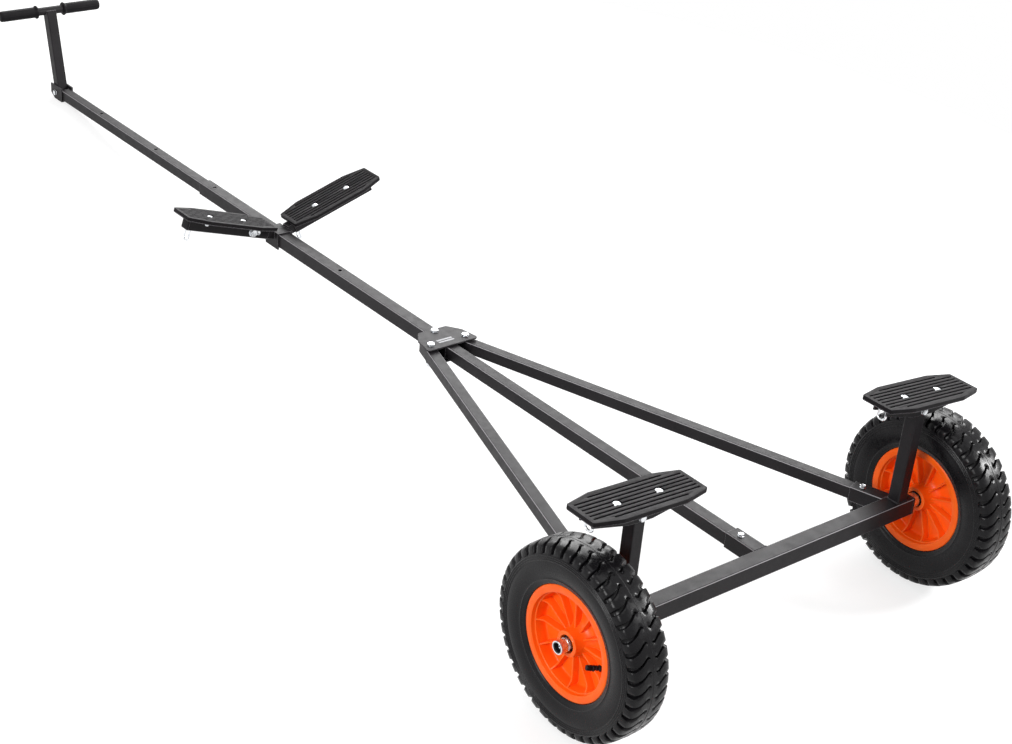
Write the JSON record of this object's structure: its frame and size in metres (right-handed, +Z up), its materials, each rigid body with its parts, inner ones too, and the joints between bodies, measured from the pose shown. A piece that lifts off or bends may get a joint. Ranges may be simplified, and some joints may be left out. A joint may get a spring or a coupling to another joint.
{
  "type": "boat launching trolley",
  "caption": "Hand-pulled boat launching trolley: lugged tyres on orange rims, cross axle, braced telescopic drawbar, ribbed hull pads, V-shaped bow support and T-handle.",
  "frame": {"origin": "middle of the trolley's outline on the floor", "axes": "+X forward towards the handle, +Y to the left, +Z up; the trolley is parked with its nose on the floor"},
  "size_m": [3.2309, 1.052, 0.4719],
  "materials": {
    "powder_black": "satin charcoal powder coat",
    "tyre_rubber": "matt black rubber",
    "orange_plastic": "moulded orange plastic",
    "grip_rubber": "soft dark rubber",
    "pad_rubber": "ribbed black rubber",
    "zinc": "bright zinc plate",
    "valve_rubber": "black rubber"
  },
  "bodies": {
    "frame": {"cross_axle": "powder_black", "rear_socket": "powder_black", "rear_tube": "powder_black", "middle_tube": "powder_black", "upper_gusset": "powder_black", "lower_gusset": "powder_black", "gusset_bolts": "zinc", "bow_saddle": "powder_black", "left_spindle": "zinc", "left_wheel_nut": "zinc", "left_brace": "powder_black", "left_brace_socket": "powder_black", "left_post": "powder_black", "left_pad_bolt": "zinc", "left_bow_arm": "powder_black", "left_bow_pad": "pad_rubber", "left_bow_loop": "zinc", "right_spindle": "zinc", "right_wheel_nut": "zinc", "right_brace": "powder_black", "right_brace_socket": "powder_black", "right_post": "powder_black", "right_pad_bolt": "zinc", "right_bow_arm": "powder_black", "right_bow_pad": "pad_rubber", "right_bow_loop": "zinc"},
    "drawbar_front": {"front_tube": "powder_black", "handle_fork": "powder_black", "handle_bolt": "zinc"},
    "handle": {"handle_tee": "powder_black", "left_grip": "grip_rubber", "right_grip": "grip_rubber"},
    "left_wheel": {"left_tyre": "tyre_rubber", "left_rim": "orange_plastic", "left_bearings": "zinc", "left_valve": "valve_rubber"},
    "left_pad": {"left_pad_carrier": "powder_black", "left_pad_loops": "zinc", "left_rear_pad": "pad_rubber"},
    "right_wheel": {"right_tyre": "tyre_rubber", "right_rim": "orange_plastic", "right_bearings": "zinc", "right_valve": "valve_rubber"},
    "right_pad": {"right_pad_carrier": "powder_black", "right_pad_loops": "zinc", "right_rear_pad": "pad_rubber"}
  },
  "joints": [
    {"name": "left_wheel_spin", "type": "hinge", "parent": "frame", "child": "left_wheel", "pos_m": [-1.42485, 0.469, 0.1905], "axis": [0, 1, 0], "continuous": true},
    {"name": "right_wheel_spin", "type": "hinge", "parent": "frame", "child": "right_wheel", "pos_m": [-1.42485, -0.469, 0.1905], "axis": [0, 1, 0], "continuous": true},
    {"name": "drawbar_slide", "type": "slide", "parent": "frame", "child": "drawbar_front", "axis": [0.9983, 0, -0.0579], "range_m": [-0.319, 0]},
    {"name": "handle_tilt", "type": "hinge", "parent": "drawbar_front", "child": "handle", "pos_m": [1.52519, 0, 0.01937], "axis": [0, 1, 0], "range_deg": [-30, 45]},
    {"name": "left_pad_tilt", "type": "hinge", "parent": "frame", "child": "left_pad", "pos_m": [-1.41141, 0.375, 0.42211], "axis": [0.9983, 0, -0.0579], "range_deg": [-11, 7]},
    {"name": "right_pad_tilt", "type": "hinge", "parent": "frame", "child": "right_pad", "pos_m": [-1.41141, -0.375, 0.42211], "axis": [0.9983, 0, -0.0579], "range_deg": [-13, 3]}
  ]
}
